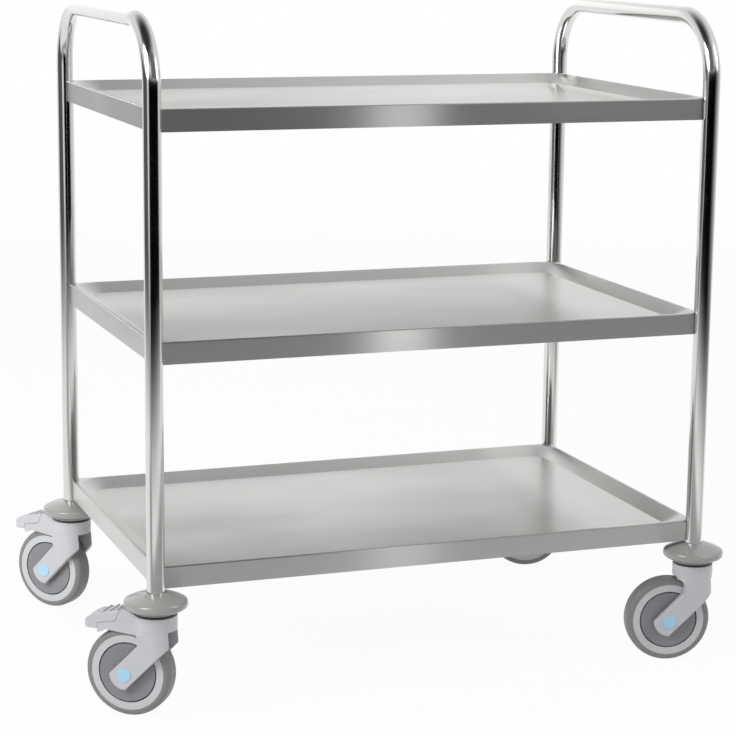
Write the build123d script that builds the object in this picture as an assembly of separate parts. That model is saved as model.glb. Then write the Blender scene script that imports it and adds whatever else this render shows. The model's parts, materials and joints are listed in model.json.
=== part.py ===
from build123d import *
import os
from math import acos, asin, atan2, cos, hypot, radians, sin, sqrt, tan

# Three-tier serving cart: two bent tube end frames, three pressed trays, four swivel casters.
# Millimetres and degrees. X runs along the cart, Y from front to rear, Z up from the floor.

# End frames
POST_SPAN_X = 820.0       # between post centres along the cart
POST_SPAN_Y = 520.0       # between post centres across the cart
TUBE_D = 25.0
TUBE_WALL = 1.2
HANDLE_RISE = 113.5       # handle bar centre line above the top shelf's rim
HANDLE_BEND_R = 88.0      # centre line radius of the two handle bends

# Shelves
SHELF_PITCH = 310.75      # from one rim top to the next
SHELF_FOOT_GAP = 3.0      # bumper top to the bottom shelf
SHEET = 1.0               # thickness of the stainless sheet
RIM_H = 30.5              # height of the vertical rim
RIM_FLAT = 4.0            # flat on top of the rim
DECK_RUN = 25.0           # width of the slope from rim to deck
DECK_DROP = 13.0          # deck below the rim top
DECK_CORNER_R = 22.0
HEM_W = 10.0              # lower edge folded inwards
FOLD_R = 2.0              # outside radius of the rim's top fold
NOTCH_GAP = 0.2           # scalloped corner to post

# Shelf fixings, one on the diagonal of each corner
BOLT_D = 6.0
BOLT_HOLE_GAP = 0.25      # radial room of the bolt in the sheet and in the tube
WASHER_HEM_GAP = 2.0      # washer above the folded hem
BOLT_HEAD_AF = 10.0
BOLT_HEAD_H = 4.0
BOLT_END_R = 4.0          # bolt tip from the post's axis
WASHER_D = 13.0
WASHER_T = 2.0
NUT_D = 11.0
NUT_INNER_R = 5.0         # inner face of the nut from the post's axis
THREAD_GAP = 0.05         # radial room modelled between mating threads

# Bumpers
BUMPER_D = 88.0
BUMPER_H = 28.5
BUMPER_LIP_D = 55.0
BUMPER_LIP_H = 1.5
BUMPER_RIM_Z = 8.0        # start of the rim above the bumper's underside
BUMPER_RIM_H = 9.5
BUMPER_RIM_R = 5.5        # rounding of the rim
BUMPER_TOP_D = 27.0       # edge of the upper side round the post
BUMPER_CROWN = 1.5        # swell of the upper side
SOCKET_DEPTH = 12.0       # tube end below the bumper's top
SOCKET_GAP = 0.3

# Caster stems
STEM_D = 12.0
STEM_HEAD_AF = 18.0
STEM_HEAD_H = 7.0
STEM_FIT = 0.05           # radial running clearance in the swivel bearing
STEM_PLAY = 0.4           # stem head below the swivel bearing
PLUG_FLANGE_T = 1.5
PLUG_NUT_GAP = 2.0        # plug below the bottom shelf's nuts
PLUG_FIT = 0.05
SEAL_T = 2.2
SEAL_D = 50.0

# Swivel heads and forks
TRAIL = 37.0              # axle behind the swivel axis
SWIVEL_GAP = 3.0          # fork head to bumper
HEAD_D = 59.0
HEAD_H = 20.0
HEAD_ABOVE_WHEEL = 1.0
HEAD_EDGE_R = 4.0
CROWN_GAP = 3.5           # tyre to the underside of the head
SWIVEL_BEARING_D = 42.0
SWIVEL_BEARING_H = 10.0
STEM_WELL_D = 30.0        # well under the bearing for the stem's head
LEG_T = 9.0
LEG_W = 32.0
LEG_END_R = 23.0
LEG_ANGLE = 45.5          # slope of the legs
LEG_REAR = 16.5           # rear edge of the legs behind the swivel axis
LEG_ROUND_R = 2.0         # rounding of the legs' outer edges
HOOD_INSET = 0.3          # top of the legs' drafted outside inside the head's round
HOOD_FRONT = 32.0         # front of the drafted outside, carried down to the floor
HOOD_EDGE_R = 4.0         # its corners there, seen from above
ARCH_R = 10.0             # rounding between legs and head at the rear

# Wheels
WHEEL_D = 125.0
WHEEL_W = 30.0
WHEEL_SIDE_GAP = 1.5      # tyre to fork leg
SHOULDER_R = 8.0
TREAD_T = 9.0             # tread to the tyre's seat
RIM_INSET = 0.5           # rim ring inside the tyre's side
RIDGE_H = 2.5             # ridge that keeps the tyre on the rim
RIDGE_W = 10.0
RING_W = 12.4             # rim ring between the tyre's seat and the cover
COVER_T = 2.0
COVER_INSET = 0.4         # cover below the rim ring's face
COVER_DISH = 1.5          # centre of the cover below its edge
COVER_GROOVE = 2.0        # dark groove round the cover
SKIRT_INSET = 5.5         # skirt that holds the cover on the web, inside the cover's edge
WEB_T = 8.0
HUB_D = 30.0
HUB_GAP = 0.3
WHEEL_BEARING_D = 22.0
WHEEL_BEARING_W = 7.0
BEARING_LIP = 2.0         # shoulder behind each wheel bearing

# Axles
AXLE_D = 10.0
AXLE_FIT = 0.05           # radial running clearance in the wheel bearings
AXLE_HEAD_D = 17.0
AXLE_HEAD_H = 3.5
AXLE_NUT_AF = 15.0
AXLE_BOSS_D = 14.0
AXLE_BOSS_GAP = 0.3       # fork boss to wheel bearing
CAP_D = 20.0
CAP_T = 2.1
CAP_PROUD = 0.8
CAP_FIT = 0.05
CAP_BEVEL = 0.5

# Brakes of the left casters, pressed down as photographed
PIVOT_BACK = 36.0         # pedal pin behind the swivel axis
PIVOT_DROP = 5.0          # pedal pin below the top of the head
PIN_D = 5.0
PIN_FIT = 0.05
KNUCKLE_R = 13.3
PEDAL_SEAM = 0.5
PEDAL_W = 36.0
PEDAL_BEND = 46.0         # pin to the start of the pedal's rounded nose
PEDAL_BEND_RISE = 2.3
PEDAL_TIP = 64.0          # pin to the end of the nose
PEDAL_TIP_DROP = 8.6
PEDAL_TIP_H = 10.2
PEDAL_TIP_RAKE = 1.5      # foot of the tip behind its top
PEDAL_STEP = 44.5         # pin to the step in the pedal's underside
PEDAL_STEP_DROP = 10.5
PEDAL_ROOT = 17.5         # pin to the upper end of the pedal's underside
PEDAL_ROOT_DROP = 5.4
PEDAL_ROOT_RISE = 10.0
PEDAL_CORNER_R = 6.0
PEDAL_ROUND_R = 2.0       # rounding round the pedal's upper side
RIB_COUNT = 3
RIB_R = 1.8
RIB_PITCH = 11.0
RIB_START = 15.0          # pin to the first rib
ARM_DROP = 18.8           # lower edge of the arm below the pin, at its end
ARM_FOOT = 25.0           # lower edge of the arm below the pin, at the fork's head
HOOK_DROP = 23.5          # tail at the end of the arm, below the pin
HOOK_W = 3.5
HOOK_RUN = 9.0            # slope from the tail to the arm
TONGUE_W = 12.0
TONGUE_R = 6.0
TONGUE_GAP = 0.4
SPRING_T = 0.6
SPRING_L = 14.0
PAD_FRONT = 10.0          # pin to the near face of the pad
PAD_L = 12.0
PAD_GAP = 0.4             # pad to tyre with the brake on
PAD_SWING = 6.0           # room behind the pad for the pedal's lift

# Photographed swivel angles, from trailing straight to the left end, turned towards the rear
FRONT_LEFT_TURN = 38.0
REAR_LEFT_TURN = 50.0
FRONT_RIGHT_TURN = 14.0
REAR_RIGHT_TURN = 20.0

# Name, side along X, side along Y, swivel angle, brake
CORNERS = [
    ("front_left", -1, -1, FRONT_LEFT_TURN, True),
    ("rear_left", -1, 1, REAR_LEFT_TURN, True),
    ("front_right", 1, -1, FRONT_RIGHT_TURN, False),
    ("rear_right", 1, 1, REAR_RIGHT_TURN, False),
]

# Heights that follow from the sizes above
AXLE_Z = WHEEL_D / 2
HEAD_BOTTOM = WHEEL_D + HEAD_ABOVE_WHEEL
HEAD_TOP = HEAD_BOTTOM + HEAD_H
BUMPER_Z = HEAD_TOP + SWIVEL_GAP
BUMPER_TOP = BUMPER_Z + BUMPER_H
SOCKET_Z = BUMPER_TOP - SOCKET_DEPTH
TUBE_FOOT = SOCKET_Z + PLUG_FLANGE_T
BOTTOM_RIM = BUMPER_TOP + SHELF_FOOT_GAP + RIM_H
SHELF_RIMS = {
    "bottom_shelf": BOTTOM_RIM,
    "middle_shelf": BOTTOM_RIM + SHELF_PITCH,
    "top_shelf": BOTTOM_RIM + 2 * SHELF_PITCH,
}
HANDLE_Z = SHELF_RIMS["top_shelf"] + HANDLE_RISE
BOLT_DROP = RIM_H - SHEET - WASHER_HEM_GAP - WASHER_D / 2
PLUG_TOP = BOTTOM_RIM - BOLT_DROP - NUT_D / 2 - PLUG_NUT_GAP

# Radii and half widths that follow
TUBE_R = TUBE_D / 2
BORE_R = TUBE_R - TUBE_WALL
NOTCH_R = TUBE_R + NOTCH_GAP
FORK_IN = WHEEL_W / 2 + WHEEL_SIDE_GAP
FORK_OUT = FORK_IN + LEG_T
HEAD_R = HEAD_D / 2
CROWN_R = WHEEL_D / 2 + CROWN_GAP
BEARING_FACE = WHEEL_W / 2 - RIM_INSET
SEAT_R = WHEEL_D / 2 - TREAD_T
COVER_R = SEAT_R - RING_W
SKIRT_R = COVER_R - SKIRT_INSET
PIVOT = (-PIVOT_BACK, HEAD_TOP - PIVOT_DROP)
AXLE = (-TRAIL, AXLE_Z)
HOOD_TOP = HEAD_BOTTOM + HEAD_EDGE_R
HOOD_R = HEAD_R - HOOD_INSET
HOOD_DRAFT = (HOOD_R - FORK_OUT) / (HOOD_TOP - AXLE_Z)


def slab(face_edges, y_low, y_high):
    """A plate between two Y values, from an outline drawn in X and Z."""
    plane = Plane(origin=(0, y_high, 0), x_dir=(1, 0, 0), z_dir=(0, -1, 0))
    return extrude(plane * make_face(face_edges), y_high - y_low)


def outline(*points):
    """Closed straight-sided outline."""
    return Polyline(*points, close=True).edges()


def y_rod(x, z, radius, y_low, y_high):
    """A round bar along Y."""
    rod = Cylinder(radius, y_high - y_low, rotation=(90, 0, 0))
    return Pos(x, (y_low + y_high) / 2, z) * rod


def z_rod(radius, z_low, z_high):
    """A round bar along Z on the local axis."""
    return Pos(0, 0, (z_low + z_high) / 2) * Cylinder(radius, z_high - z_low)


def z_ring(outer, inner, z_low, z_high):
    return z_rod(outer, z_low, z_high) - z_rod(inner, z_low, z_high)


def block(x_low, x_high, y_half, z_low, z_high):
    """A box centred on the local XZ plane."""
    size = Box(x_high - x_low, 2 * y_half, z_high - z_low)
    return Pos((x_low + x_high) / 2, 0, (z_low + z_high) / 2) * size


def y_turned(edges):
    """A body of revolution about Y, from an outline of radius and Y."""
    return revolve(make_face(edges), Axis.Y)


def post_xy(side_x, side_y):
    return side_x * POST_SPAN_X / 2, side_y * POST_SPAN_Y / 2


def on_diagonal(side_x, side_y, rim_z):
    """Frame of a shelf fixing: X points from the post's axis to the middle of the shelf."""
    x, y = post_xy(side_x, side_y)
    return Plane(origin=(x, y, rim_z - BOLT_DROP), x_dir=(-side_x, -side_y, 0), z_dir=(0, 0, 1)).location


def x_rod(radius, x_low, x_high):
    """A round bar along X on the local axis."""
    return Pos((x_low + x_high) / 2, 0, 0) * Cylinder(radius, x_high - x_low, rotation=(0, 90, 0))


def x_hex(across_flats, x_low, x_high):
    """A hexagon bar along X on the local axis."""
    hexagon = RegularPolygon(across_flats / 2, 6, major_radius=False)
    return extrude(Plane.YZ.offset(x_low) * hexagon, x_high - x_low)


def end_frame(side_x):
    """One tube bent twice: a post, the handle bar and the other post."""
    x, half = post_xy(side_x, 1)
    foot = (x, -half, TUBE_FOOT)
    path = FilletPolyline(
        foot, (x, -half, HANDLE_Z), (x, half, HANDLE_Z), (x, half, TUBE_FOOT), radius=HANDLE_BEND_R
    )
    section = Plane(foot) * (Circle(TUBE_R) - Circle(BORE_R))
    tube = sweep(section, path=path)
    hole = x_rod(BOLT_D / 2 + BOLT_HOLE_GAP, 0, TUBE_D)
    for rim_z in SHELF_RIMS.values():
        for side_y in (-1, 1):
            tube -= on_diagonal(side_x, side_y, rim_z) * hole
    return tube


def scalloped(inset):
    """Shelf outline with its corners cut round the posts, drawn in by a margin."""
    plate = Rectangle(POST_SPAN_X - 2 * inset, POST_SPAN_Y - 2 * inset)
    posts = GridLocations(POST_SPAN_X, POST_SPAN_Y, 2, 2)
    return plate - posts * Circle(NOTCH_R + inset)


def dish(grow_top, grow_deck, depth):
    """The hollow of a shelf, from the rim's inner edge down to the deck."""
    margin = 2 * RIM_FLAT
    top_x, top_y = POST_SPAN_X - margin, POST_SPAN_Y - margin
    top_r = DECK_CORNER_R + DECK_RUN
    deck_x, deck_y = top_x - 2 * DECK_RUN, top_y - 2 * DECK_RUN
    top = RectangleRounded(top_x + 2 * grow_top, top_y + 2 * grow_top, top_r + grow_top)
    deck = RectangleRounded(deck_x + 2 * grow_deck, deck_y + 2 * grow_deck, DECK_CORNER_R + grow_deck)
    return loft([Pos(0, 0, -depth) * deck, top], ruled=True)


def shelf():
    """Pressed tray with its rim top at Z zero: skirt, hem, rim flat, slope and deck of one sheet."""
    run = DECK_RUN / DECK_DROP
    slant = sqrt(1 + run**2)
    skirt = extrude(scalloped(0) - scalloped(SHEET), -RIM_H)
    hem = Pos(0, 0, -RIM_H) * extrude(scalloped(0) - scalloped(HEM_W), SHEET)
    flat = extrude(scalloped(0), -SHEET)
    pan = dish(SHEET * slant, SHEET * (slant - run), DECK_DROP + SHEET)
    tray = skirt + hem + flat + pan - dish(0, 0, DECK_DROP)
    tray = fillet(rim_edges(tray, 0), FOLD_R)
    tray = fillet(rim_edges(tray, SHEET), FOLD_R - SHEET)
    hole = x_rod(BOLT_D / 2 + BOLT_HOLE_GAP, 0, NOTCH_R + TUBE_D)
    for side_x in (-1, 1):
        for side_y in (-1, 1):
            tray -= on_diagonal(side_x, side_y, 0) * hole
    return tray


def rim_edges(tray, depth):
    """The four long edges of the rim's top fold, outside at no depth and inside one sheet deep."""
    reach = depth + SHEET / 2
    level = tray.edges().filter_by_position(Axis.Z, -reach, SHEET / 2 - depth)
    found = []
    for edge in level:
        middle = edge.center()
        from_rim = min(POST_SPAN_X / 2 - abs(middle.X), POST_SPAN_Y / 2 - abs(middle.Y))
        if edge.length > POST_SPAN_Y / 2 and abs(from_rim - depth) < SHEET / 2:
            found.append(edge)
    return found


def shelf_bolt():
    """Hexagon bolt from under the shelf into the post, along X from the post's axis."""
    seat = NOTCH_R + SHEET + WASHER_T
    return x_rod(BOLT_D / 2, BOLT_END_R, seat) + x_hex(BOLT_HEAD_AF, seat, seat + BOLT_HEAD_H)


def shelf_washer():
    """Saddle washer: flat under the bolt head, hollowed to the scalloped corner."""
    wall = NOTCH_R + SHEET
    washer = x_rod(WASHER_D / 2, 0, wall + WASHER_T) - z_rod(wall, -WASHER_D, WASHER_D)
    return washer - x_rod(BOLT_D / 2 + BOLT_HOLE_GAP, 0, 2 * wall)


def post_nut():
    """Nut welded inside the post, shaped to its bore."""
    nut = x_rod(NUT_D / 2, NUT_INNER_R, BORE_R) & z_rod(BORE_R, -NUT_D, NUT_D)
    return nut - x_rod(BOLT_D / 2 + THREAD_GAP, 0, TUBE_D)


def at_shelf_corners(piece):
    """Copies of a fixing at every corner of every shelf."""
    copies = []
    for rim_z in SHELF_RIMS.values():
        for _, side_x, side_y, _, _ in CORNERS:
            copies.append(on_diagonal(side_x, side_y, rim_z) * piece)
    return copies


def bumper():
    """Rubber disc: flared underside, rounded rim, swollen top, socket for the post."""
    rim_r = BUMPER_D / 2
    lip_r = BUMPER_LIP_D / 2
    rim_low = BUMPER_Z + BUMPER_RIM_Z
    rim_high = rim_low + BUMPER_RIM_H
    crown = BUMPER_TOP_D / 2, BUMPER_TOP
    middle = ((rim_r + crown[0]) / 2, (rim_high + BUMPER_TOP) / 2 + BUMPER_CROWN)
    lip_top = BUMPER_Z + BUMPER_LIP_H
    socket_r = TUBE_R + SOCKET_GAP
    edges = [
        Polyline((0, BUMPER_Z), (lip_r, BUMPER_Z), (lip_r, lip_top), (rim_r, rim_low), (rim_r, rim_high)),
        ThreePointArc((rim_r, rim_high), middle, crown),
        Polyline(crown, (0, BUMPER_TOP), (0, BUMPER_Z)),
    ]
    face = make_face([e for run in edges for e in run.edges()])
    rim = [v for v in face.vertices() if v.X > rim_r - BUMPER_RIM_R / 9]
    body = revolve(Plane.XZ * fillet(rim, BUMPER_RIM_R), Axis.Z)
    socket = z_rod(socket_r, SOCKET_Z, BUMPER_TOP)
    return body - socket - z_rod(STEM_D / 2 + STEM_FIT, BUMPER_Z, BUMPER_TOP)


def stem_plug():
    """Threaded plug in the foot of the post, with a flange under the tube's end."""
    flange = z_rod(TUBE_R, SOCKET_Z, TUBE_FOOT)
    body = z_rod(BORE_R - PLUG_FIT, SOCKET_Z, PLUG_TOP)
    return flange + body - z_rod(STEM_D / 2 + THREAD_GAP, SOCKET_Z, PLUG_TOP)


def caster_stem():
    """Bolt that the caster swivels on, from its head below the bearing up into the plug."""
    head_top = HEAD_TOP - SWIVEL_BEARING_H - STEM_PLAY
    hexagon = RegularPolygon(STEM_HEAD_AF / 2, 6, major_radius=False)
    head = Pos(0, 0, head_top - STEM_HEAD_H) * extrude(hexagon, STEM_HEAD_H)
    return head + z_rod(STEM_D / 2, head_top, PLUG_TOP)


def swivel_seal():
    return z_ring(SEAL_D / 2, STEM_D / 2 + STEM_FIT, BUMPER_Z - SEAL_T, BUMPER_Z)


def swivel_bearing():
    return z_ring(SWIVEL_BEARING_D / 2, STEM_D / 2 + STEM_FIT, HEAD_TOP - SWIVEL_BEARING_H, HEAD_TOP)


def fork_head():
    """Round head of the fork, with a rounded lower edge."""
    low = HEAD_BOTTOM + HEAD_EDGE_R
    corner = HEAD_R - HEAD_EDGE_R
    ease = HEAD_EDGE_R * sqrt(0.5)
    edges = [
        Line((0, HEAD_BOTTOM), (corner, HEAD_BOTTOM)),
        ThreePointArc((corner, HEAD_BOTTOM), (corner + ease, low - ease), (HEAD_R, low)),
        Line((HEAD_R, low), (HEAD_R, HEAD_TOP)),
        Line((HEAD_R, HEAD_TOP), (0, HEAD_TOP)),
        Line((0, HEAD_TOP), (0, HEAD_BOTTOM)),
    ]
    return revolve(Plane.XZ * make_face(edges), Axis.Z)


def leg_edges():
    """Side view of a leg: straight upper part, slanted band, round end about the axle."""
    slope = radians(LEG_ANGLE)
    spread = asin(LEG_W / 2 / LEG_END_R)

    def on_end(turn):
        angle = slope + radians(180) + turn
        return AXLE[0] + LEG_END_R * cos(angle), AXLE[1] + LEG_END_R * sin(angle)

    upper, tip, lower = on_end(-spread), on_end(0), on_end(spread)
    front = HEAD_R, lower[1] + (HEAD_R - lower[0]) * tan(slope)
    rear = -LEG_REAR, upper[1] + (-LEG_REAR - upper[0]) * tan(slope)
    arch_low = -LEG_REAR, HEAD_BOTTOM - ARCH_R
    arch_high = -LEG_REAR - ARCH_R, HEAD_BOTTOM
    ease = ARCH_R * (1 - sqrt(0.5))
    arch_mid = -LEG_REAR - ease, HEAD_BOTTOM - ease
    return [
        ThreePointArc(upper, tip, lower),
        *Polyline(lower, front, (HEAD_R, HEAD_TOP), (arch_high[0], HEAD_TOP), arch_high).edges(),
        ThreePointArc(arch_high, arch_mid, arch_low),
        *Polyline(arch_low, rear, upper).edges(),
    ]


def hood_side(z):
    """Half width of the fork's drafted outside at a height."""
    return HOOD_R - HOOD_DRAFT * (HOOD_TOP - z)


def hood():
    """Outside of the fork below its head: flat drafted sides that run smoothly into the round."""
    half = hood_side(0)
    inner_y = half - HOOD_EDGE_R
    ease, rise = HOOD_EDGE_R * sqrt(0.5), HOOD_R * sqrt(0.5)
    faces, tops, feet, ends = [], [], [], []
    for sx, sy in [(1, 1), (-1, 1), (-1, -1), (1, -1)]:
        inner_x = HOOD_FRONT - HOOD_EDGE_R if sx > 0 else HOOD_EDGE_R - TRAIL - WHEEL_D
        at_x = (inner_x + sx * HOOD_EDGE_R, sy * inner_y, 0)
        at_y = (inner_x, sy * half, 0)
        corner = (inner_x + sx * ease, sy * (inner_y + ease), 0)
        feet.append(ThreePointArc(at_x, corner, at_y).edge())
        front, middle, side = (sx * HOOD_R, 0), (sx * rise, sy * rise), (0, sy * HOOD_R)
        tops.append(ThreePointArc(*[(*point, HOOD_TOP) for point in (front, middle, side)]).edge())
        faces.append(Face.make_surface_from_curves(feet[-1], tops[-1]))
        ends += [at_x, at_y] if sx * sy > 0 else [at_y, at_x]
    peaks = [(0, HOOD_R, HOOD_TOP), (-HOOD_R, 0, HOOD_TOP), (0, -HOOD_R, HOOD_TOP), (HOOD_R, 0, HOOD_TOP)]
    sides = [(ends[1], ends[2]), (ends[3], ends[4]), (ends[5], ends[6]), (ends[7], ends[0])]
    for (start, end), peak in zip(sides, peaks):
        faces.append(make_face(outline(start, end, peak)).face())
    faces.append(make_face(tops).face())
    faces.append(make_face(feet + [Line(*side).edge() for side in sides]).face())
    return Solid(Shell(faces))


def fork_legs():
    """Both legs, trimmed to the drafted outside of the fork."""
    legs = slab(leg_edges(), -HEAD_R, HEAD_R) & hood()
    legs -= block(-TRAIL - WHEEL_D, HEAD_R, FORK_IN, 0, HEAD_BOTTOM)
    return fillet([e for e in legs.edges() if on_leg_side(e)], LEG_ROUND_R)


def on_leg_side(edge):
    """True for an edge of the slanted band on the outer side of a leg."""
    points = [edge.center(), *edge.vertices()]
    off_side = max(abs(abs(point.Y) - hood_side(point.Z)) for point in points)
    below_arch = max(point.Z for point in points) < HEAD_BOTTOM - ARCH_R - LEG_ROUND_R
    return off_side < LEG_ROUND_R / 9 and below_arch


def fork(braked):
    """Plastic fork with its bearing seat, axle holes and, with a brake, the pedal's housing."""
    body = fork_head() + fork_legs()
    if braked:
        body += brake_arm()
    body -= y_rod(*AXLE, CROWN_R, -FORK_IN, FORK_IN)
    for side in (-1, 1):
        boss_end = BEARING_FACE + AXLE_BOSS_GAP
        low, high = sorted((side * boss_end, side * FORK_IN))
        body += y_rod(*AXLE, AXLE_BOSS_D / 2, low, high)
        floor = side * (FORK_OUT - cap_pocket())
        low, high = sorted((floor, side * HEAD_R))
        body -= y_rod(*AXLE, CAP_D / 2, low, high)
    body -= y_rod(*AXLE, AXLE_D / 2 + AXLE_FIT, -FORK_OUT, FORK_OUT)
    body -= z_rod(SWIVEL_BEARING_D / 2, HEAD_TOP - SWIVEL_BEARING_H, HEAD_TOP)
    body -= z_rod(STEM_WELL_D / 2, AXLE_Z, HEAD_TOP)
    if braked:
        body -= brake_slot()
        body -= y_rod(*PIVOT, PIN_D / 2 + PIN_FIT, -PEDAL_W / 2, PEDAL_W / 2)
    return body


def cap_pocket():
    """Depth of the pocket for an axle head under its cap."""
    return AXLE_HEAD_H + CAP_T - CAP_PROUD


def axle_bolt():
    """Axle with its round head in the front leg's pocket and its thread in the rear one."""
    floor = FORK_OUT - cap_pocket()
    head = y_rod(*AXLE, AXLE_HEAD_D / 2, -floor - AXLE_HEAD_H, -floor)
    return head + y_rod(*AXLE, AXLE_D / 2, -floor, floor + AXLE_HEAD_H)


def axle_nut():
    floor = FORK_OUT - cap_pocket()
    hexagon = RegularPolygon(AXLE_NUT_AF / 2, 6, major_radius=False)
    hexagon -= Circle(AXLE_D / 2 + THREAD_GAP)
    plane = Plane(origin=(AXLE[0], floor, AXLE[1]), x_dir=(1, 0, 0), z_dir=(0, 1, 0))
    return extrude(plane * hexagon, AXLE_HEAD_H)


def axle_caps():
    """Two bevelled caps that close the axle pockets."""
    radius = CAP_D / 2 - CAP_FIT
    high = FORK_OUT + CAP_PROUD
    low = high - CAP_T
    bevel_low = radius, high - CAP_BEVEL
    bevel_high = radius - CAP_BEVEL, high
    profile = y_turned(outline((0, low), (radius, low), bevel_low, bevel_high, (0, high)))
    cap = Pos(AXLE[0], 0, AXLE[1]) * profile
    return [cap, mirror(cap, Plane.XZ)]


def tyre():
    """Tread ring with rounded shoulders, keyed to the rim by a groove."""
    outer, half, seat = WHEEL_D / 2, WHEEL_W / 2, SEAT_R
    ridge = seat + RIDGE_H
    face = make_face(outline(
        (seat, -half), (outer, -half), (outer, half), (seat, half),
        (seat, RIDGE_W / 2), (ridge, RIDGE_W / 2), (ridge, -RIDGE_W / 2), (seat, -RIDGE_W / 2),
    ))
    shoulders = [v for v in face.vertices() if v.X > outer - SHOULDER_R / 9]
    return revolve(fillet(shoulders, SHOULDER_R), Axis.Y)


def wheel_rim():
    """Moulded wheel centre: ring under the tyre, thin web and bearing hub."""
    seat = SEAT_R
    ring_in = COVER_R + COVER_GROOVE
    web, hub, side = WEB_T / 2, HUB_D / 2, BEARING_FACE
    half = [
        (hub, side), (hub, web), (ring_in, web), (ring_in, side), (seat, side),
        (seat, RIDGE_W / 2), (seat + RIDGE_H, RIDGE_W / 2),
    ]
    shoulder = side - WHEEL_BEARING_W
    bore, lip = WHEEL_BEARING_D / 2, WHEEL_BEARING_D / 2 - BEARING_LIP
    inside = [(lip, shoulder), (bore, shoulder), (bore, side)]
    upper = inside + half
    lower = [(r, -y) for r, y in reversed(upper)]
    return y_turned(outline(*upper, *lower))


def hub_covers():
    """Dished covers clipped over both sides of the wheel centre."""
    edge_y = BEARING_FACE - COVER_INSET
    rim_r, eye_r = COVER_R, HUB_D / 2 + HUB_GAP
    skirt_in = SKIRT_R - COVER_T
    edges = outline(
        (eye_r, edge_y - COVER_DISH), (rim_r, edge_y), (rim_r, edge_y - COVER_T),
        (SKIRT_R, edge_y - COVER_T - COVER_DISH / 2), (SKIRT_R, WEB_T / 2),
        (skirt_in, WEB_T / 2), (skirt_in, edge_y - COVER_T - COVER_DISH / 2),
        (eye_r, edge_y - COVER_DISH - COVER_T),
    )
    cover = y_turned(edges)
    return [cover, mirror(cover, Plane.XZ)]


def wheel_bearings():
    bore = AXLE_D / 2 + AXLE_FIT
    low, high = BEARING_FACE - WHEEL_BEARING_W, BEARING_FACE
    ring = y_rod(0, 0, WHEEL_BEARING_D / 2, low, high) - y_rod(0, 0, bore, low, high)
    return [ring, mirror(ring, Plane.XZ)]


def from_pivot(back, rise):
    return PIVOT[0] - back, PIVOT[1] + rise


def on_knuckle(radius, rise):
    """Point on the round of the pedal's housing, behind the pin."""
    return from_pivot(sqrt(radius**2 - rise**2), rise)


def knuckle_tangent(radius, back, drop):
    """Point where a line from below and behind the pin touches the round about the pin."""
    turn = acos(radius / hypot(back, drop)) - atan2(drop, back)
    return from_pivot(radius * cos(turn), radius * sin(turn))


def brake_arm():
    """Housing behind the head: a knuckle round the pin, an arm under the pedal and its tail."""
    half = PEDAL_W / 2
    back, drop = PEDAL_ROOT - PEDAL_SEAM, PEDAL_ROOT_DROP + PEDAL_SEAM
    end = PEDAL_STEP - PEDAL_SEAM
    arm = slab(outline(
        (0, PIVOT[1] - ARM_FOOT), (0, HEAD_TOP), (PIVOT[0], HEAD_TOP),
        knuckle_tangent(KNUCKLE_R, back, drop), from_pivot(back, -drop),
        from_pivot(end, -PEDAL_STEP_DROP - PEDAL_SEAM), from_pivot(end, -HOOK_DROP),
        from_pivot(end - HOOK_W, -HOOK_DROP), from_pivot(end - HOOK_W - HOOK_RUN, -ARM_DROP),
    ), -half, half)
    arm += y_rod(*PIVOT, KNUCKLE_R, -half, half)
    return arm - bumper_room() - block(-HEAD_R, HEAD_R, FORK_IN, 0, HEAD_BOTTOM)


def bumper_room():
    """Space that the bumper's flare needs above the housing."""
    lip = BUMPER_LIP_D / 2
    rim = BUMPER_D / 2
    low = HEAD_TOP
    high = BUMPER_Z + BUMPER_RIM_Z - SWIVEL_GAP
    edges = outline((0, low), (lip, low), (rim, high), (rim, BUMPER_TOP), (0, BUMPER_TOP))
    return revolve(Plane.XZ * make_face(edges), Axis.Z)


def brake_slot():
    """Slot for the pedal's tongue, open at the top, and the window for the pad."""
    half = TONGUE_W / 2 + TONGUE_GAP
    floor = PIVOT[1] - TONGUE_R - TONGUE_GAP - SPRING_T
    reach = TONGUE_R + TONGUE_GAP
    slot = block(PIVOT[0] - 2 * KNUCKLE_R, PIVOT[0] + reach, half, floor, BUMPER_TOP)
    near = PIVOT[0] - PAD_FRONT + TONGUE_GAP
    far = PIVOT[0] - PAD_FRONT - PAD_L - PAD_SWING
    return slot + block(far, near, half, AXLE_Z, BUMPER_TOP)


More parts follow.
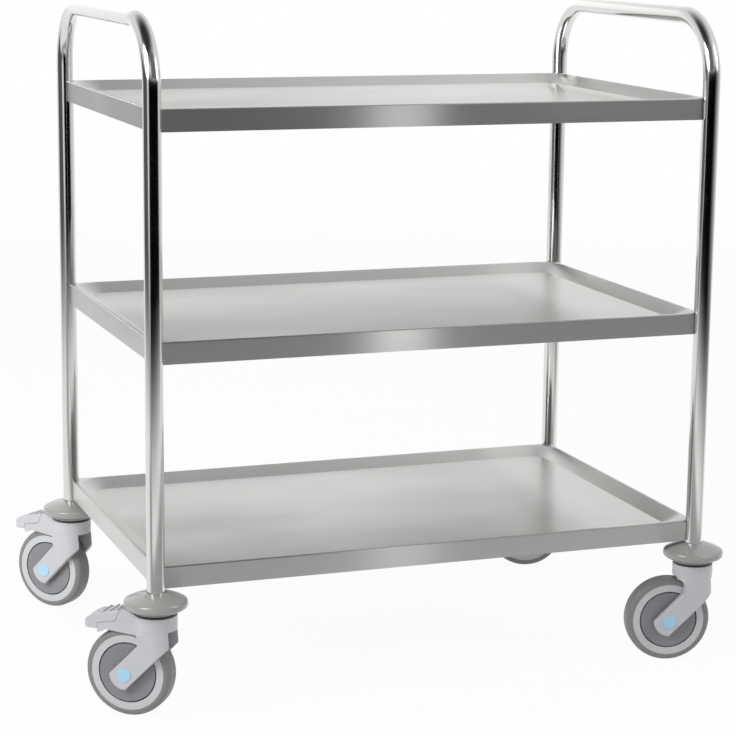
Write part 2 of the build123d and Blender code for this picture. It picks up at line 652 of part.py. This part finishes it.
def brake_pedal():
    """Foot lever: ribbed wedge with a rounded nose, a thick tip and a tongue on the pin."""
    half = PEDAL_W / 2
    hollow = KNUCKLE_R + PEDAL_SEAM
    top = on_knuckle(hollow, PEDAL_ROOT_RISE)
    touch = knuckle_tangent(hollow, PEDAL_ROOT, PEDAL_ROOT_DROP)
    middle = on_knuckle(hollow, (PEDAL_ROOT_RISE + touch[1] - PIVOT[1]) / 2)
    root = from_pivot(PEDAL_ROOT, -PEDAL_ROOT_DROP)
    bend = from_pivot(PEDAL_BEND, PEDAL_BEND_RISE)
    tip = from_pivot(PEDAL_TIP, -PEDAL_TIP_DROP)
    foot = -PEDAL_TIP_DROP - PEDAL_TIP_H
    tip_low, step_low = from_pivot(PEDAL_TIP - PEDAL_TIP_RAKE, foot), from_pivot(PEDAL_STEP, foot)
    step = from_pivot(PEDAL_STEP, -PEDAL_STEP_DROP)
    slope = (bend[1] - top[1]) / (bend[0] - top[0])
    edges = [
        Line(root, touch).edge(),
        ThreePointArc(touch, middle, top).edge(),
        Line(top, bend).edge(),
        TangentArc(bend, tip, tangent=(-1, -slope)).edge(),
        *Polyline(tip, tip_low, step_low, step, root).edges(),
    ]
    plan = RectangleRounded(2 * PEDAL_TIP, PEDAL_W, PEDAL_CORNER_R)
    lever = slab(edges, -half, half) & Pos(PIVOT[0], 0, 0) * extrude(plan, BUMPER_TOP)
    lever = fillet([e for e in lever.edges() if on_pedal_rim(e, top, bend)], PEDAL_ROUND_R)
    rib_half = half - PEDAL_ROUND_R
    for i in range(RIB_COUNT):
        x = PIVOT[0] - RIB_START - i * RIB_PITCH
        lever += y_rod(x, top[1] + (x - top[0]) * slope, RIB_R, -rib_half, rib_half)
    tongue = block(PIVOT[0] - hollow - TONGUE_R, PIVOT[0], TONGUE_W / 2, root[1], PIVOT[1] + TONGUE_R)
    tongue += y_rod(*PIVOT, TONGUE_R, -TONGUE_W / 2, TONGUE_W / 2)
    return lever + tongue - y_rod(*PIVOT, PIN_D / 2 + PIN_FIT, -half, half)


def on_pedal_rim(edge, top, bend):
    """True for a side edge of the pedal's straight upper side or of its nose."""
    middle = edge.center()
    slope = (bend[1] - top[1]) / (bend[0] - top[0])
    if abs(middle.Y) < PEDAL_W / 2 - PEDAL_CORNER_R:
        return False
    rise = middle.Z - top[1] - (middle.X - top[0]) * slope
    if middle.X > bend[0]:
        return abs(rise) < PEDAL_ROUND_R / 9
    return middle.Z > PIVOT[1] - PEDAL_TIP_DROP and edge.length > PEDAL_ROUND_R


def brake_pad():
    """Rubber pad under the pedal, hollowed to the tyre."""
    half = TONGUE_W / 2
    root = from_pivot(PEDAL_ROOT, -PEDAL_ROOT_DROP)
    step = from_pivot(PEDAL_STEP, -PEDAL_STEP_DROP)
    slope = (step[1] - root[1]) / (step[0] - root[0])
    near, far = PIVOT[0] - PAD_FRONT, PIVOT[0] - PAD_FRONT - PAD_L

    def under(x):
        return min(root[1], root[1] + (x - root[0]) * slope)

    pad = slab(outline((near, AXLE_Z), (near, root[1]), root, (far, under(far)), (far, AXLE_Z)), -half, half)
    return pad - y_rod(*AXLE, WHEEL_D / 2 + PAD_GAP, -half, half)


def pedal_pin():
    return y_rod(*PIVOT, PIN_D / 2, -PEDAL_W / 2, PEDAL_W / 2)


def brake_spring():
    """Leaf spring on the floor of the slot, under the tongue's boss."""
    floor = PIVOT[1] - TONGUE_R - TONGUE_GAP - SPRING_T
    high = PIVOT[0] + TONGUE_R
    return block(high - SPRING_L, high, TONGUE_W / 2, floor, floor + SPRING_T)


def caster(braked):
    """All moving pieces of a caster that trails towards minus X, swivel axis on Z."""
    wheel = Pos(AXLE[0], 0, AXLE[1])
    pieces = {
        "fork": [fork(braked)],
        "swivel_bearing": [swivel_bearing()],
        "axle_bolt": [axle_bolt()],
        "axle_nut": [axle_nut()],
        "axle_caps": axle_caps(),
        "tyre": [wheel * tyre()],
        "wheel_rim": [wheel * wheel_rim()],
        "hub_covers": [wheel * cover for cover in hub_covers()],
        "wheel_bearings": [wheel * ring for ring in wheel_bearings()],
    }
    if braked:
        pieces["brake_pedal"] = [brake_pedal()]
        pieces["brake_pad"] = [brake_pad()]
        pieces["pedal_pin"] = [pedal_pin()]
        pieces["brake_spring"] = [brake_spring()]
    return pieces


def assembly():
    """Every node as a list of solids, about the middle of the four posts."""
    nodes = {"left_end_frame": [end_frame(-1)], "right_end_frame": [end_frame(1)]}
    tray = shelf()
    for name, rim_z in SHELF_RIMS.items():
        nodes[name] = [Pos(0, 0, rim_z) * tray]
    nodes["shelf_bolts"] = at_shelf_corners(shelf_bolt())
    nodes["shelf_washers"] = at_shelf_corners(shelf_washer())
    nodes["post_nuts"] = at_shelf_corners(post_nut())
    feet = [Pos(*post_xy(side_x, side_y)) for _, side_x, side_y, _, _ in CORNERS]
    nodes["stem_plugs"] = [foot * stem_plug() for foot in feet]
    nodes["caster_stems"] = [foot * caster_stem() for foot in feet]
    nodes["swivel_seals"] = [foot * swivel_seal() for foot in feet]
    casters = {braked: caster(braked) for braked in (False, True)}
    for foot, (name, _, _, turn, braked) in zip(feet, CORNERS):
        nodes[f"{name}_bumper"] = [foot * bumper()]
        place = foot * Rot(0, 0, -turn)
        for piece, solids in casters[braked].items():
            nodes[f"{name}_{piece}"] = [place * solid for solid in solids]
    return nodes


def main():
    """Write one file per node, with the origin under the middle of the whole cart, on the floor."""
    nodes = {name: solids_of(group) for name, group in assembly().items()}
    box = Compound([solid for group in nodes.values() for solid in group]).bounding_box()
    centre = box.center()
    shift = Pos(-centre.X, -centre.Y, 0)
    os.makedirs("parts", exist_ok=True)
    for name, group in nodes.items():
        solids = [shift * solid for solid in group]
        export_step(solids[0] if len(solids) == 1 else Compound(solids), f"parts/{name}.step")
    print("posts about the origin:", -centre.X, -centre.Y, "box:", box.size, "lowest:", box.min.Z)


def solids_of(shapes):
    return [solid for shape in shapes for solid in shape.solids()]


main()
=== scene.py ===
import json
import math
from collections import namedtuple

import bmesh
import bpy
from mathutils import Matrix, Vector


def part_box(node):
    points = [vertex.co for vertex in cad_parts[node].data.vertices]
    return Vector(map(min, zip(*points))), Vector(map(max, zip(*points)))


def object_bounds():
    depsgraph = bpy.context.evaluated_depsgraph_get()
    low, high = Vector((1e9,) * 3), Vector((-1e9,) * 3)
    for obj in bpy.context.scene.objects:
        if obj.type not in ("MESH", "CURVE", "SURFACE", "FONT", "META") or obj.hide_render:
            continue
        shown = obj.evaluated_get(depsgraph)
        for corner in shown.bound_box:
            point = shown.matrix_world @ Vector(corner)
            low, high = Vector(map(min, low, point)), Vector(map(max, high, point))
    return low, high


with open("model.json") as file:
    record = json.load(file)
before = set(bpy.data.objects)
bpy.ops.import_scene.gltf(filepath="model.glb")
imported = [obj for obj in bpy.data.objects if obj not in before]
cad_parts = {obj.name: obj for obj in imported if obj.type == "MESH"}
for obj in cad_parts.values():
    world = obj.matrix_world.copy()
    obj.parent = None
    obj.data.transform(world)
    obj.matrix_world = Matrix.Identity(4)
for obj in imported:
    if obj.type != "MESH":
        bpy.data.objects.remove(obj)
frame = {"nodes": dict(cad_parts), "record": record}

# Three-tier serving cart: chromed tube ends, brushed stainless trays, grey plastic casters.
# Metres, in the part's own frame: X along the cart, Y from front to rear, Z up from the floor.
cad_low, cad_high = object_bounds()
MM = 0.001

# The photograph's camera, placed from the middle of the four posts
IMAGE_PX = 736
SENSOR_MM = 36.0
FOCAL_PX = 2284.4
CAMERA_FROM_POSTS = Vector((-1.1643, -3.1660, 1.0929))
CAMERA_YAW = math.radians(20.01)
CAMERA_PITCH = math.radians(11.38)
CAMERA_ROLL = math.radians(-0.62)

# Patterns of the finishes, in millimetres. Belt lines and grain are drawn coarser than the real
# ones, so that they show in the render.
BELT_LINES = 0.9
SHEET_GRAIN = 1.6
SCRATCH_DEPTH = 0.05      # of the belt lines and the sheet's grain
TUBE_CLOUDS = 60.0        # duller patches of the chrome
SHEET_CLOUDS = 140.0      # duller patches of the sheet
PLATING_CLOUDS = 2.0
PLASTIC_CLOUDS = 25.0     # faint clouds in the colour of moulded pieces

# Roughness of the metals, and how far clouds change that of the plated and moulded pieces
TUBE_ROUGHNESS = (0.10, 0.15)
SHEET_ROUGHNESS = (0.29, 0.33)
PLATING_SPREAD = 0.06
PLASTIC_SPREAD = 0.04
NOISE_RANGE = (0.3, 0.7)  # most of a noise lies between these values
FACES_FROM = 0.6          # share of a normal from which a face counts as facing that way

# Moulded finishes: slot in the record, name, lighter and darker colour, roughness, spacing and
# depth of the mould's grain in millimetres, specular level where it isn't 0.5
Moulding = namedtuple(
    "Moulding", "slot name colour dark_colour roughness grain depth specular", defaults=(0.5,)
)
MOULDINGS = [
    # Nylon seal: black and matt, a dark line under the bumper
    Moulding("seal_plastic", "moulded_black_nylon", "#1c1c1d", "#171718", 0.55, 0.8, 0.02),
    # Rubber from a polished mould: glossy, with small bright glints on the bumper's rim
    Moulding("bumper_rubber", "moulded_grey_rubber", "#979895", "#91928f", 0.18, 0.9, 0.01, 0.8),
    # Polyamide: the light cool grey of forks and pedals, satin
    Moulding("fork_plastic", "moulded_grey_polyamide", "#c6c7cb", "#c1c2c6", 0.42, 0.8, 0.02),
    # Non-marking tyre rubber: grey and matt
    Moulding("tyre_rubber", "moulded_non_marking_rubber", "#838583", "#7c7e7c", 0.52, 1.2, 0.04),
    # Polypropylene rim: a pale satin ring inside the tyre
    Moulding("rim_plastic", "moulded_grey_polypropylene", "#c8cacd", "#c3c5c8", 0.38, 0.8, 0.02),
    # ABS hub cover: darker grey, with a soft sheen
    Moulding("cover_plastic", "moulded_dark_grey_abs", "#87878b", "#818185", 0.34, 0.7, 0.02),
    # ABS axle cap: a pale blue dot in the middle of the wheel
    Moulding("cap_plastic", "moulded_pale_blue_abs", "#a9d6f0", "#a2d0ec", 0.35, 0.8, 0.01),
    # Brake pad rubber: black and matt
    Moulding("pad_rubber", "moulded_black_rubber", "#2a2a2a", "#242424", 0.6, 1.0, 0.04),
]

# Floor, and light from all round
FLOOR_R = 6.0
FLOOR_SIDES = 96
FLOOR_FADE = 0.45         # share of the floor's radius that fades into the white background
WHITE_SHARE = 0.95        # share of plain white in the floor as seen, the rest is its lit colour
FLOOR_GLOW = 1.15         # strength of that white as the cart mirrors it
SHADE_GLOW = 0.42         # the same for the floor in front, in the flats' shade
SHADE_EDGE = (-0.60, -0.20)  # depths between which that shade fades out
SKY_LIGHT = 0.42          # strength of the even light from all round

# Dark canopy over the front of the cart
CANOPY = (-1.1, -0.6, 2.7)
CANOPY_R = 3.0
CANOPY_SOLID_R = 0.75     # from here outwards the canopy fades
CANOPY_SIDES = 64
CANOPY_COLOUR = "#3a3a3b"

# Cards bent round the cart: name, radius, lower and upper edge, first and last bearing, soft
# margins at both ends, colour. Bearings are degrees from straight ahead, positive to the left end.
Card = namedtuple("Card", "name radius low high start end start_margin end_margin colour")
CARD_STEPS = 24
FLATS = [
    Card("front_flat", 1.25, 0.0, 1.25, -96.0, 58.0, 66.0, 8.0, "#040404"),
    Card("upper_flat", 1.25, 1.10, 2.40, -42.0, 34.0, 34.0, 12.0, "#7a7a7a"),
    Card("left_flat", 1.90, 0.0, 1.40, 63.0, 132.0, 8.0, 16.0, "#5c5d60"),
]
FLAT_FOOT = 0.41          # lower stretch of a flat that the pale floor lights
FLAT_TOP_FADE = 0.25      # share of a flat's height that fades out at its top
REAR_CARD = Card("rear_card", 2.30, 0.40, 2.30, -214.0, -134.0, 30.0, 30.0, "#ffffff")
REAR_GLOW = 1.60          # strength of the rear card's white
REAR_FOOT_FADE = 0.25     # shares of the rear card's height that fade out at its foot and top
REAR_TOP_FADE = 0.40

# Lamps by bearing, distance over the floor and height, with width, height, power in watts,
# whether glossy faces mirror them, and what they light, where that isn't everything. The right
# softbox has a weaker twin for the shelves, whose decks would glare from behind.
Lamp = namedtuple("Lamp", "name bearing reach height width tall power mirrored lit")
SHELVES = ("top_shelf", "middle_shelf", "bottom_shelf")
NOT_SHELVES = ("floor", *(node for node in frame["nodes"] if node not in SHELVES))
LEFT_END = ("left_end_frame",)
REAR_LEFT = tuple(node for node in frame["nodes"] if node.startswith("rear_left_"))
BUMPERS = tuple(node for node in frame["nodes"] if node.endswith("_bumper"))
LAMPS = [
    Lamp("left_softbox", 66.0, 2.40, 1.85, 1.30, 1.40, 40.0, True, ()),
    Lamp("right_softbox", -54.0, 2.40, 1.75, 0.60, 1.20, 17.0, True, NOT_SHELVES),
    Lamp("right_fill", -54.0, 2.40, 1.75, 0.60, 1.20, 4.0, True, SHELVES),
    Lamp("strip_light", -14.1, 1.12, 0.56, 0.10, 0.90, 0.35, True, SHELVES),
    Lamp("rear_softbox", 165.0, 2.10, 2.90, 1.50, 1.50, 20.0, False, ()),
    Lamp("right_strip", -58.0, 1.20, 0.58, 0.70, 1.10, 1.0, True, LEFT_END),
    Lamp("left_glint", 50.0, 1.20, 0.80, 0.30, 0.24, 2.0, True, BUMPERS),
    Lamp("right_glint", -40.0, 1.20, 0.80, 0.30, 0.24, 1.4, True, BUMPERS),
    Lamp("left_kicker", 82.0, 1.60, 0.75, 0.60, 0.60, 6.0, False, REAR_LEFT),
]

# Settings that several shader nodes share
COLOURS = {"data_type": "RGBA"}
SMOOTH = {"interpolation_type": "SMOOTHSTEP"}
TIMES = {"operation": "MULTIPLY"}
LARGER = {"operation": "MAXIMUM"}


def linear(code):
    """An sRGB hex colour as linear RGBA."""
    channels = [int(code[i:i + 2], 16) / 255 for i in (1, 3, 5)]
    return (*[c / 12.92 if c <= 0.04045 else ((c + 0.055) / 1.055) ** 2.4 for c in channels], 1.0)


def add_node(tree, kind, settings=None, **inputs):
    """A shader node with its settings and its inputs, named by label or by number as i0, i1."""
    node = tree.nodes.new("ShaderNode" + kind)
    for name, value in (settings or {}).items():
        setattr(node, name, value)
    for name, value in inputs.items():
        label = name.replace("_", " ")
        numbered = label[0] == "i" and label[1:].isdigit()
        socket = node.inputs[int(label[1:]) if numbered else label]
        if isinstance(value, bpy.types.NodeSocket):
            tree.links.new(value, socket)
        else:
            socket.default_value = value
    return node


def new_material(name):
    """A material and its empty node tree."""
    material = bpy.data.materials.new(name)
    material.use_nodes = True
    material.node_tree.nodes.clear()
    return material, material.node_tree


def noise_at(tree, spacing_mm, stretch=(1, 1, 1), detail=3.0):
    """Noise whose bumps are a given number of millimetres apart, drawn out along an axis."""
    where = add_node(tree, "TexCoord").outputs["Object"]
    scaled = add_node(tree, "Mapping", Vector=where, Scale=stretch).outputs["Vector"]
    per_metre = 1 / (spacing_mm * MM)
    noise = add_node(tree, "TexNoise", Vector=scaled, Scale=per_metre, Detail=detail)
    return noise.outputs["Fac"]


def clouded(tree, spacing_mm, smoothest, roughest, stretch=(1, 1, 1)):
    """Clouds of noise, and the roughness that they vary between two values."""
    clouds = noise_at(tree, spacing_mm, stretch)
    cloud_low, cloud_high = NOISE_RANGE
    roughness = add_node(
        tree, "MapRange", Value=clouds,
        From_Min=cloud_low, From_Max=cloud_high, To_Min=smoothest, To_Max=roughest,
    )
    return clouds, roughness.outputs["Result"]


def chromed_tube():
    # Bright chrome on polished steel tube: mirror clear, with faint lines from the polishing belt
    material, tree = new_material("polished_chrome")
    lines = noise_at(tree, BELT_LINES, stretch=(1, 1, 0.02))
    _, roughness = clouded(tree, TUBE_CLOUDS, *TUBE_ROUGHNESS)
    bump = add_node(tree, "Bump", Strength=0.03, Distance=SCRATCH_DEPTH * MM, Height=lines)
    shader = add_node(
        tree, "BsdfPrincipled", Base_Color=linear("#d0d0ce"), Metallic=1.0,
        Roughness=roughness, Normal=bump.outputs["Normal"],
    )
    add_node(tree, "OutputMaterial", Surface=shader.outputs["BSDF"])
    return material


def brushed_stainless():
    # Brushed stainless sheet: satin, and lights smear across the grain that runs along the sheet.
    # Faces that look down get a darker colour, a painted shade under each shelf.
    material, tree = new_material("brushed_stainless")
    facing = add_node(tree, "NewGeometry").outputs["Normal"]
    normal = add_node(tree, "SeparateXYZ", Vector=facing).outputs
    sideways = add_node(tree, "Math", {"operation": "ABSOLUTE"}, i0=normal["Y"]).outputs["Value"]
    upright = add_node(
        tree, "Math", {"operation": "GREATER_THAN"}, i0=sideways, i1=FACES_FROM
    ).outputs["Value"]
    level = add_node(tree, "Math", {"operation": "SUBTRACT"}, i0=1.0, i1=upright).outputs["Value"]
    across = add_node(tree, "CombineXYZ", Y=level, Z=upright).outputs["Vector"]
    grain = noise_at(tree, SHEET_GRAIN, stretch=(0.012, 0.6, 1.0), detail=4.0)
    _, roughness = clouded(tree, SHEET_CLOUDS, *SHEET_ROUGHNESS, stretch=(0.5, 1.0, 1.0))
    bump = add_node(tree, "Bump", Strength=0.05, Distance=SCRATCH_DEPTH * MM, Height=grain)
    brushed = add_node(tree, "Mix", COLOURS, i0=grain, i6=linear("#d0d0ce"), i7=linear("#dad9d7"))
    # Painted shade: faces that look down are given a darker colour than the brushed faces
    painted_underside_shade = add_node(
        tree, "Math", {"operation": "LESS_THAN"}, i0=normal["Z"], i1=-FACES_FROM
    ).outputs["Value"]
    colour = add_node(
        tree, "Mix", COLOURS, i0=painted_underside_shade, i6=brushed.outputs[2], i7=linear("#a4a4a2")
    )
    shader = add_node(
        tree, "BsdfPrincipled", Base_Color=colour.outputs[2], Metallic=1.0,
        Roughness=roughness, Anisotropic=1.0, Tangent=across, Normal=bump.outputs["Normal"],
    )
    add_node(tree, "OutputMaterial", Surface=shader.outputs["BSDF"])
    return material


def plated_steel(name, code, roughness):
    # Zinc plated or ground steel: dull metal with a fine cloudy grain
    material, tree = new_material(name)
    _, clouded_roughness = clouded(
        tree, PLATING_CLOUDS, roughness - PLATING_SPREAD, roughness + PLATING_SPREAD
    )
    shader = add_node(
        tree, "BsdfPrincipled", Base_Color=linear(code), Metallic=1.0, Roughness=clouded_roughness
    )
    add_node(tree, "OutputMaterial", Surface=shader.outputs["BSDF"])
    return material


def moulded(moulding):
    """A moulded plastic or rubber: even colour with faint clouds, and the grain of its mould."""
    material, tree = new_material(moulding.name)
    smoothest, roughest = moulding.roughness - PLASTIC_SPREAD, moulding.roughness + PLASTIC_SPREAD
    clouds, roughness = clouded(tree, PLASTIC_CLOUDS, smoothest, roughest)
    grain = noise_at(tree, moulding.grain)
    colour = add_node(
        tree, "Mix", COLOURS, i0=clouds, i6=linear(moulding.dark_colour), i7=linear(moulding.colour)
    )
    bump = add_node(tree, "Bump", Strength=0.25, Distance=moulding.depth * MM, Height=grain)
    shader = add_node(
        tree, "BsdfPrincipled", Base_Color=colour.outputs[2], Roughness=roughness,
        Specular_IOR_Level=moulding.specular, Normal=bump.outputs["Normal"],
    )
    add_node(tree, "OutputMaterial", Surface=shader.outputs["BSDF"])
    return material


def finishes():
    """One material for each material slot of the record."""
    materials = {
        "chromed_tube": chromed_tube(),
        "stainless_sheet": brushed_stainless(),
        "zinc_fixings": plated_steel("zinc_plated_steel", "#b9babc", 0.36),
        "bearing_steel": plated_steel("ground_bearing_steel", "#b4b4b6", 0.24),
    }
    for moulding in MOULDINGS:
        materials[moulding.slot] = moulded(moulding)
    return materials


def dress_nodes():
    """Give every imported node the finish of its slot."""
    materials = finishes()
    for row in frame["record"]["subparts"]:
        mesh = frame["nodes"][row["node"]].data
        mesh.materials.clear()
        mesh.materials.append(materials[row["material_slot"]])


def from_bearing(bearing, radius, height):
    """A point round the cart, by its bearing in degrees, distance and height."""
    turn = math.radians(bearing)
    return Vector((-radius * math.sin(turn), -radius * math.cos(turn), height))


def staged(name, bm, material):
    """A mesh of the studio, which isn't part of the cart."""
    mesh = bpy.data.meshes.new(name)
    bm.to_mesh(mesh)
    bm.free()
    mesh.materials.append(material)
    piece = bpy.data.objects.new(name, mesh)
    bpy.context.scene.collection.objects.link(piece)
    return piece


def only_in_reflections(piece):
    """Hide a studio card from everything but reflections."""
    for ray in ("camera", "diffuse", "shadow", "transmission", "volume_scatter"):
        setattr(piece, "visible_" + ray, False)


def seen_directly(tree):
    """One for rays from the camera and for mirrored or refracted ones."""
    path = add_node(tree, "LightPath").outputs
    bent = add_node(
        tree, "Math", LARGER, i0=path["Is Glossy Ray"], i1=path["Is Transmission Ray"]
    ).outputs["Value"]
    seen = add_node(tree, "Math", LARGER, i0=path["Is Camera Ray"], i1=bent)
    return seen.outputs["Value"]


def white_world():
    """White background, and an even light of its own strength."""
    world = bpy.data.worlds.new("white_studio")
    bpy.context.scene.world = world
    world.use_nodes = True
    tree = world.node_tree
    tree.nodes.clear()
    light = add_node(tree, "Background", Color=linear("#ffffff"), Strength=SKY_LIGHT)
    white = add_node(tree, "Background", Color=linear("#ffffff"), Strength=1.0)
    mix = add_node(
        tree, "MixShader", i0=seen_directly(tree),
        i1=light.outputs["Background"], i2=white.outputs["Background"],
    )
    add_node(tree, "OutputWorld", Surface=mix.outputs["Shader"])


def pale_floor():
    """Round pale floor that keeps the shadow and fades into the background."""
    material, tree = new_material("pale_floor")
    where = add_node(tree, "TexCoord").outputs["Object"]
    depth = add_node(tree, "SeparateXYZ", Vector=where).outputs["Y"]
    shade_start, shade_end = SHADE_EDGE
    mirrored = add_node(
        tree, "MapRange", SMOOTH, Value=depth,
        From_Min=shade_start, From_Max=shade_end, To_Min=SHADE_GLOW, To_Max=FLOOR_GLOW,
    ).outputs["Result"]
    glossy = add_node(tree, "LightPath").outputs["Is Glossy Ray"]
    glow = add_node(tree, "MapRange", Value=glossy, To_Min=1.0, To_Max=mirrored).outputs["Result"]
    white = add_node(tree, "Emission", Color=linear("#ffffff"), Strength=glow).outputs["Emission"]
    paint = add_node(tree, "BsdfDiffuse", Color=linear("#f2f2f1")).outputs["BSDF"]
    share = add_node(tree, "Math", TIMES, i0=seen_directly(tree), i1=WHITE_SHARE).outputs["Value"]
    seen = add_node(tree, "MixShader", i0=share, i1=paint, i2=white).outputs["Shader"]
    away = add_node(tree, "VectorMath", {"operation": "LENGTH"}, i0=where).outputs["Value"]
    solid = add_node(
        tree, "MapRange", Value=away,
        From_Min=FLOOR_R * (1 - FLOOR_FADE), From_Max=FLOOR_R, To_Min=1.0, To_Max=0.0,
    ).outputs["Result"]
    clear = add_node(tree, "BsdfTransparent").outputs["BSDF"]
    faded = add_node(tree, "MixShader", i0=solid, i1=clear, i2=seen).outputs["Shader"]
    add_node(tree, "OutputMaterial", Surface=faded)
    bm = bmesh.new()
    bmesh.ops.create_circle(bm, cap_ends=True, segments=FLOOR_SIDES, radius=FLOOR_R)
    staged("floor", bm, material)


def paint_card(tree, colour, glow, cover):
    """Glowing paint of a studio card, clear where its cover is none."""
    paint = add_node(tree, "Emission", Color=colour, Strength=glow).outputs["Emission"]
    clear = add_node(tree, "BsdfTransparent").outputs["BSDF"]
    card = add_node(tree, "MixShader", i0=cover, i1=clear, i2=paint).outputs["Shader"]
    add_node(tree, "OutputMaterial", Surface=card)


def soft_cover(tree, card, foot, top):
    """Cover of a bent card that fades at its ends and, by shares of its height, at foot and top."""
    length = card.end - card.start
    uv = add_node(tree, "TexCoord").outputs["UV"]
    share = add_node(tree, "SeparateXYZ", Vector=uv).outputs
    edges = [
        (share["X"], 0.0, card.start_margin / length),
        (share["X"], 1.0, 1.0 - card.end_margin / length),
        (share["Y"], 0.0, foot),
        (share["Y"], 1.0, 1.0 - top),
    ]
    cover = 1.0
    for where, clear, solid in edges:
        if clear != solid:
            faded = add_node(tree, "MapRange", SMOOTH, Value=where, From_Min=clear, From_Max=solid)
            cover = add_node(
                tree, "Math", TIMES, i0=cover, i1=faded.outputs["Result"]
            ).outputs["Value"]
    return cover


def bent_card(card, material):
    """Upright card bent round the cart, with its shares along and up as UV, seen in reflections."""
    bm = bmesh.new()
    share = bm.loops.layers.uv.new("share")
    rows = []
    for i in range(CARD_STEPS + 1):
        bearing = card.start + (card.end - card.start) * i / CARD_STEPS
        row = [bm.verts.new(from_bearing(bearing, card.radius, z)) for z in (card.low, card.high)]
        rows.append(row)
    for i, (near, far) in enumerate(zip(rows, rows[1:])):
        face = bm.faces.new((near[0], far[0], far[1], near[1]))
        corners = ((i, 0), (i + 1, 0), (i + 1, 1), (i, 1))
        for loop, (step, up) in zip(face.loops, corners):
            loop[share].uv = step / CARD_STEPS, up
    only_in_reflections(staged(card.name, bm, material))


def dark_flats():
    """Dark flats round the cart, whose feet the pale floor lights."""
    foot_colour = (FLOOR_GLOW, FLOOR_GLOW, FLOOR_GLOW, 1.0)
    for flat in FLATS:
        material, tree = new_material(flat.name)
        where = add_node(tree, "TexCoord").outputs["Object"]
        height = add_node(tree, "SeparateXYZ", Vector=where).outputs["Z"]
        foot = add_node(
            tree, "MapRange", SMOOTH, Value=height, From_Max=FLAT_FOOT, To_Min=1.0, To_Max=0.0
        ).outputs["Result"]
        colour = add_node(tree, "Mix", COLOURS, i0=foot, i6=linear(flat.colour), i7=foot_colour)
        cover = soft_cover(tree, flat, 0.0, FLAT_TOP_FADE)
        paint_card(tree, colour.outputs[2], 1.0, cover)
        bent_card(flat, material)


def rear_card():
    """Glowing card behind the cart that the decks and the sides of the posts mirror."""
    material, tree = new_material(REAR_CARD.name)
    cover = soft_cover(tree, REAR_CARD, REAR_FOOT_FADE, REAR_TOP_FADE)
    paint_card(tree, linear(REAR_CARD.colour), REAR_GLOW, cover)
    bent_card(REAR_CARD, material)


def dark_canopy():
    """Dark canopy over the front of the cart, seen only in its reflections."""
    material, tree = new_material("dark_canopy")
    where = add_node(tree, "TexCoord").outputs["Object"]
    away = add_node(
        tree, "VectorMath", {"operation": "DISTANCE"}, i0=where, i1=CANOPY
    ).outputs["Value"]
    cover = add_node(
        tree, "MapRange", SMOOTH, Value=away, From_Min=CANOPY_R, From_Max=CANOPY_SOLID_R
    ).outputs["Result"]
    paint_card(tree, linear(CANOPY_COLOUR), 1.0, cover)
    bm = bmesh.new()
    bmesh.ops.create_circle(
        bm, cap_ends=True, segments=CANOPY_SIDES, radius=CANOPY_R,
        matrix=Matrix.Translation(CANOPY),
    )
    only_in_reflections(staged("canopy", bm, material))


def softboxes():
    """Lamps that look at the middle of the cart."""
    middle = (cad_low + cad_high) / 2
    for lamp in LAMPS:
        light = bpy.data.lights.new(lamp.name, "AREA")
        light.shape = "RECTANGLE"
        light.size = lamp.width
        light.size_y = lamp.tall
        light.energy = lamp.power
        piece = bpy.data.objects.new(lamp.name, light)
        bpy.context.scene.collection.objects.link(piece)
        piece.location = from_bearing(lamp.bearing, lamp.reach, lamp.height)
        piece.rotation_euler = (middle - piece.location).to_track_quat("-Z", "Y").to_euler()
        piece.visible_glossy = lamp.mirrored
        if lamp.lit:
            receivers = bpy.data.collections.new(lamp.name + "_lights")
            for name in lamp.lit:
                receivers.objects.link(bpy.data.objects[name])
            piece.light_linking.receiver_collection = receivers


def photo_camera():
    """Camera at the photograph's viewing angle."""
    left_low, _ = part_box("left_end_frame")
    _, right_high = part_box("right_end_frame")
    posts = (left_low + right_high) / 2
    posts.z = 0.0
    data = bpy.data.cameras.new("photo_camera")
    data.sensor_width = SENSOR_MM
    data.lens = FOCAL_PX / IMAGE_PX * SENSOR_MM
    camera = bpy.data.objects.new("photo_camera", data)
    bpy.context.scene.collection.objects.link(camera)
    yaw = Matrix.Rotation(-CAMERA_YAW, 4, "Z")
    pitch = Matrix.Rotation(math.radians(90) - CAMERA_PITCH, 4, "X")
    roll = Matrix.Rotation(-CAMERA_ROLL, 4, "Z")
    camera.matrix_world = Matrix.Translation(posts + CAMERA_FROM_POSTS) @ yaw @ pitch @ roll
    bpy.context.scene.camera = camera


bpy.context.scene.view_settings.view_transform = "Standard"
dress_nodes()
white_world()
pale_floor()
dark_flats()
rear_card()
dark_canopy()
softboxes()
photo_camera()
